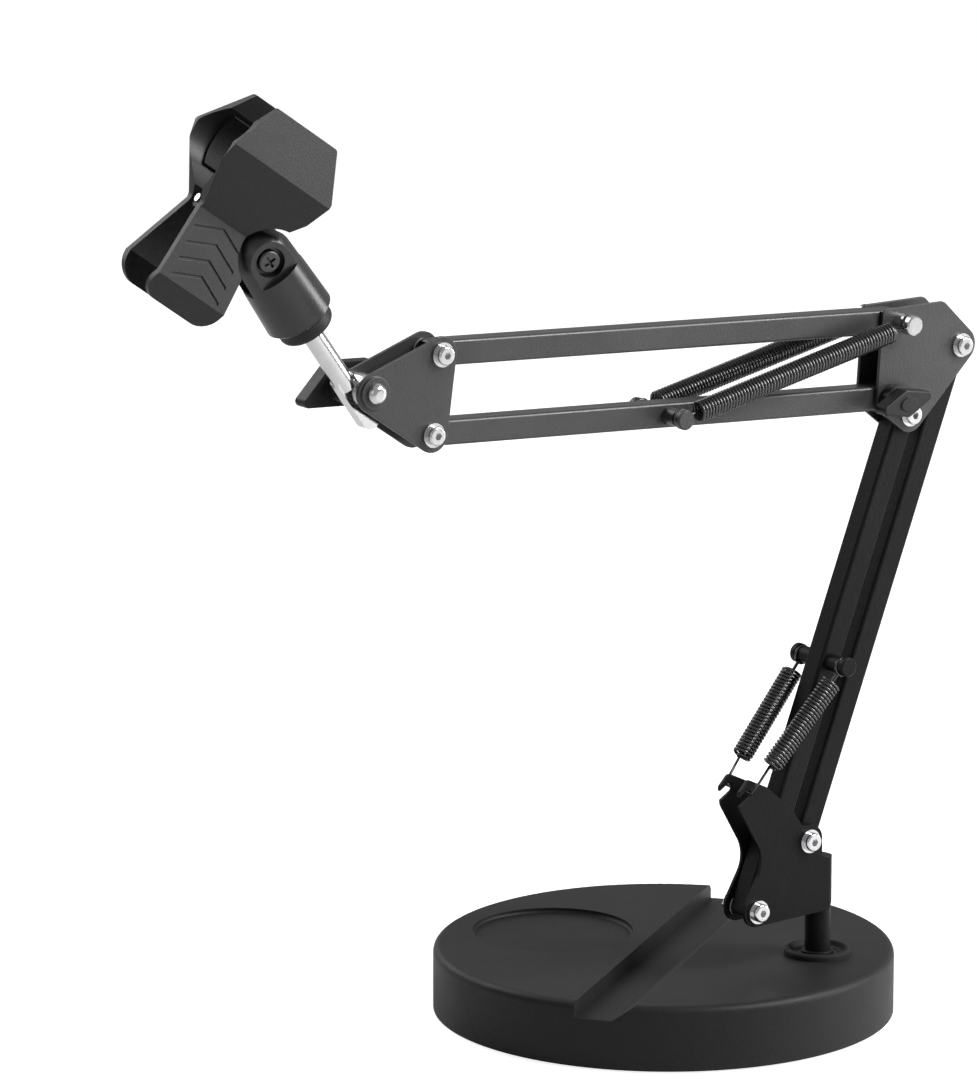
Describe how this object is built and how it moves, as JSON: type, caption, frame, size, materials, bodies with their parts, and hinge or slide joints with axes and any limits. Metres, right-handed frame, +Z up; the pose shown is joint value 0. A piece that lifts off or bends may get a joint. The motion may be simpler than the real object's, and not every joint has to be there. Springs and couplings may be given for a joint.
{
  "type": "desktop microphone stand",
  "caption": "Desktop boom stand: weighted round base with phone slot, swivel post, two spring-balanced parallelogram arms and a spring microphone clip.",
  "frame": {"origin": "middle of the round base's underside, on the table", "axes": "+Z up; +X from the base's middle to the swivel post; the phone slot runs along Y"},
  "size_m": [0.2397, 0.3394, 0.3866],
  "materials": {
    "base_plastic": "fine-grained matt black ABS",
    "cast_weight": "rough cast, painted",
    "plated_steel": "zinc-plated sheet",
    "rubber": "matt black rubber",
    "nylon": "natural nylon",
    "coated_steel": "satin black powder coat",
    "chrome": "bright nickel plating",
    "knob_plastic": "moulded black plastic",
    "barrel_plastic": "satin black moulded nylon",
    "brass": "turned brass",
    "clip_plastic": "matt black moulded plastic",
    "spring_wire": "blackened spring steel"
  },
  "bodies": {
    "base": {"base_shell": "base_plastic", "base_weight": "cast_weight", "bottom_plate": "plated_steel", "foot_pad": "rubber", "base_screws": "chrome", "post_grommet": "rubber", "bearing_sleeve": "knob_plastic"},
    "post": {"post_rod": "coated_steel", "post_collar": "coated_steel", "post_block": "coated_steel", "bracket_front_plate": "coated_steel", "bracket_back_plate": "coated_steel", "bracket_bolts": "chrome", "bracket_washers": "chrome", "bracket_nuts": "chrome", "bracket_slip_washers": "nylon"},
    "lower_right_arm": {"lower_right_tube": "coated_steel"},
    "lower_left_arm": {"lower_left_tube": "coated_steel", "lower_spring_pin": "coated_steel", "lower_spring_hooks": "spring_wire"},
    "elbow": {"elbow_front_plate": "coated_steel", "elbow_back_plate": "coated_steel", "elbow_bolts": "chrome", "elbow_washers": "chrome", "elbow_nuts": "chrome", "elbow_slip_washers": "nylon", "spring_post": "chrome", "elbow_knob_nut": "chrome"},
    "elbow_knob": {"elbow_knob": "knob_plastic", "elbow_knob_bolt": "chrome"},
    "upper_bottom_arm": {"upper_bottom_tube": "coated_steel", "upper_spring_pin": "coated_steel", "upper_spring_hooks": "spring_wire"},
    "upper_top_arm": {"upper_top_tube": "coated_steel"},
    "tip": {"tip_front_plate": "coated_steel", "tip_back_plate": "coated_steel", "tip_bolts": "chrome", "tip_washers": "chrome", "tip_nuts": "chrome", "tip_slip_washers": "nylon", "tip_clamp_bolt": "chrome", "tip_lock_nut": "chrome"},
    "tip_knob": {"tip_wing_knob": "knob_plastic"},
    "rod": {"swivel_rod": "chrome", "rod_spacers": "chrome", "lock_ring": "knob_plastic"},
    "barrel": {"swivel_barrel": "barrel_plastic", "thread_insert": "brass", "tilt_screw": "chrome", "tilt_nut": "chrome"},
    "clip": {"clip_back_half": "clip_plastic", "hinge_pin": "chrome", "jaw_pad_back": "rubber", "clip_spring": "chrome"},
    "clip_lever": {"clip_front_half": "clip_plastic", "jaw_pad_front": "rubber"},
    "upper_springs": {"upper_springs": "spring_wire"},
    "upper_spring_ends": {"upper_spring_end_turns": "spring_wire"},
    "lower_springs": {"lower_springs": "spring_wire"},
    "lower_spring_ends": {"lower_spring_end_turns": "spring_wire"}
  },
  "joints": [
    {"name": "arm_swivel", "type": "hinge", "parent": "base", "child": "post", "pos_m": [0.061, 0.005, 0.0264], "axis": [0, 0, 1], "continuous": true},
    {"name": "lower_tilt", "type": "hinge", "parent": "post", "child": "lower_right_arm", "pos_m": [0.05527, -0.00307, 0.0741], "axis": [0.8151, -0.5793, 0], "range_deg": [-8, 13]},
    {"name": "lower_follow", "type": "hinge", "parent": "post", "child": "lower_left_arm", "pos_m": [0.04078, -0.02345, 0.0498], "axis": [0.8151, -0.5793, 0], "range_deg": [-8.05, 13.05]},
    {"name": "elbow_level", "type": "hinge", "parent": "lower_right_arm", "child": "elbow", "pos_m": [0.09716, 0.05588, 0.26056], "axis": [0.8151, -0.5793, 0], "range_deg": [-13.05, 8.05]},
    {"name": "upper_tilt", "type": "hinge", "parent": "elbow", "child": "upper_bottom_arm", "pos_m": [0.0771, 0.02766, 0.2433], "axis": [0.8151, -0.5793, 0], "range_deg": [-32, 17]},
    {"name": "upper_follow", "type": "hinge", "parent": "elbow", "child": "upper_top_arm", "pos_m": [0.07954, 0.03108, 0.2728], "axis": [0.8151, -0.5793, 0], "range_deg": [-32.05, 17.05]},
    {"name": "tip_level", "type": "hinge", "parent": "upper_bottom_arm", "child": "tip", "pos_m": [-0.04782, -0.14812, 0.25555], "axis": [0.8151, -0.5793, 0], "range_deg": [-17.05, 32.05]},
    {"name": "elbow_knob_turn", "type": "hinge", "parent": "elbow", "child": "elbow_knob", "pos_m": [0.0771, 0.02766, 0.2433], "axis": [0.8151, -0.5793, 0], "range_deg": [-180, 180]},
    {"name": "tip_knob_turn", "type": "hinge", "parent": "tip", "child": "tip_knob", "pos_m": [-0.06279, -0.16919, 0.2741], "axis": [0.8151, -0.5793, 0], "range_deg": [-180, 180]},
    {"name": "rod_tilt", "type": "hinge", "parent": "tip", "child": "rod", "pos_m": [-0.06279, -0.16919, 0.2741], "axis": [0.8151, -0.5793, 0], "range_deg": [-25, 60]},
    {"name": "clip_turn", "type": "hinge", "parent": "rod", "child": "barrel", "pos_m": [-0.08903, -0.20611, 0.32874], "axis": [-0.338, -0.4757, 0.8121], "range_deg": [-90, 90]},
    {"name": "clip_tilt", "type": "hinge", "parent": "barrel", "child": "clip", "pos_m": [-0.08903, -0.20611, 0.32874], "axis": [0.6995, -0.7043, -0.1213], "range_deg": [-40, 20]},
    {"name": "clip_squeeze", "type": "hinge", "parent": "clip", "child": "clip_lever", "pos_m": [-0.08686, -0.20458, 0.33237], "axis": [0.5271, 0.6231, -0.5778], "range_deg": [0, 6], "stiffness_Nm_per_rad": 0.6, "springref_deg": -20.05, "deforming": ["clip_spring"]},
    {"name": "upper_spring_swing", "type": "hinge", "parent": "elbow", "child": "upper_springs", "pos_m": [0.07954, 0.03108, 0.2728], "axis": [0.8151, -0.5793, 0], "range_deg": [-30.44, 16.2]},
    {"name": "upper_spring_stretch", "type": "slide", "parent": "upper_springs", "child": "upper_spring_ends", "axis": [-0.5665, -0.7972, -0.2088], "range_m": [-0.01622, 0.00866], "deforming": ["upper_springs"]},
    {"name": "lower_spring_swing", "type": "hinge", "parent": "post", "child": "lower_springs", "pos_m": [0.0381, -0.02722, 0.09794], "axis": [0.8151, -0.5793, 0], "range_deg": [-12.92, 20.96]},
    {"name": "lower_spring_stretch", "type": "slide", "parent": "lower_springs", "child": "lower_spring_ends", "axis": [0.3886, 0.5468, 0.7416], "range_m": [-0.0074, 0.00459], "deforming": ["lower_springs"]}
  ],
  "couplings": [
    {"joint": "lower_follow", "follows": "lower_tilt", "ratio": 1},
    {"joint": "elbow_level", "follows": "lower_tilt", "ratio": -1},
    {"joint": "lower_spring_swing", "follows": "lower_tilt", "ratio": 1.6083},
    {"joint": "lower_spring_stretch", "follows": "lower_tilt", "m_per_rad": -0.03217},
    {"joint": "upper_follow", "follows": "upper_tilt", "ratio": 1},
    {"joint": "tip_level", "follows": "upper_tilt", "ratio": -1},
    {"joint": "upper_spring_swing", "follows": "upper_tilt", "ratio": 0.9497},
    {"joint": "upper_spring_stretch", "follows": "upper_tilt", "m_per_rad": 0.02886}
  ]
}
